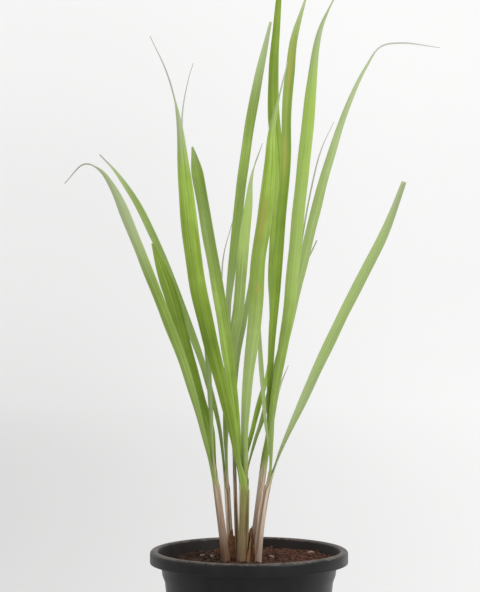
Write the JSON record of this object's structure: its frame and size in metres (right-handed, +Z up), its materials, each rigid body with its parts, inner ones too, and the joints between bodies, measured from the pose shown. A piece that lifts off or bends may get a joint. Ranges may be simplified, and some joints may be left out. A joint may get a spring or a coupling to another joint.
{
  "type": "potted lemongrass plant",
  "caption": "Clump of lemongrass stalks with long arching blades growing in a round black nursery pot of soil.",
  "frame": {"origin": "centre of the pot's underside, on the surface that the pot stands on", "axes": "+Z up along the pot's axis, the way the stalks grow; +X and +Y level, with the lowest outer blade towards +X"},
  "size_m": [0.3787, 0.2888, 0.8091],
  "materials": {
    "pot_plastic": "satin",
    "potting_soil": "matte",
    "leaf": "satin",
    "dead_leaf": "matte",
    "bark_chip": "matte"
  },
  "bodies": {
    "root": {"pot": "pot_plastic", "soil": "potting_soil", "leaf_a1": "leaf", "leaf_a2": "leaf", "leaf_a3": "leaf", "leaf_b1": "leaf", "leaf_b2": "leaf", "leaf_b3": "leaf", "leaf_c1": "leaf", "leaf_c2": "leaf", "leaf_d1": "leaf", "leaf_d2": "leaf", "leaf_d3": "leaf", "leaf_d4": "leaf", "leaf_e1": "leaf", "leaf_e2": "leaf", "leaf_e3": "leaf", "leaf_e4": "leaf", "leaf_f1": "leaf", "leaf_f2": "leaf", "leaf_f3": "leaf", "leaf_g1": "leaf", "leaf_g2": "leaf", "dead_sheath_1": "dead_leaf", "dead_sheath_2": "dead_leaf", "dead_sheath_3": "dead_leaf", "chip_1": "bark_chip", "chip_2": "bark_chip", "chip_3": "bark_chip", "chip_4": "bark_chip"}
  },
  "joints": []
}
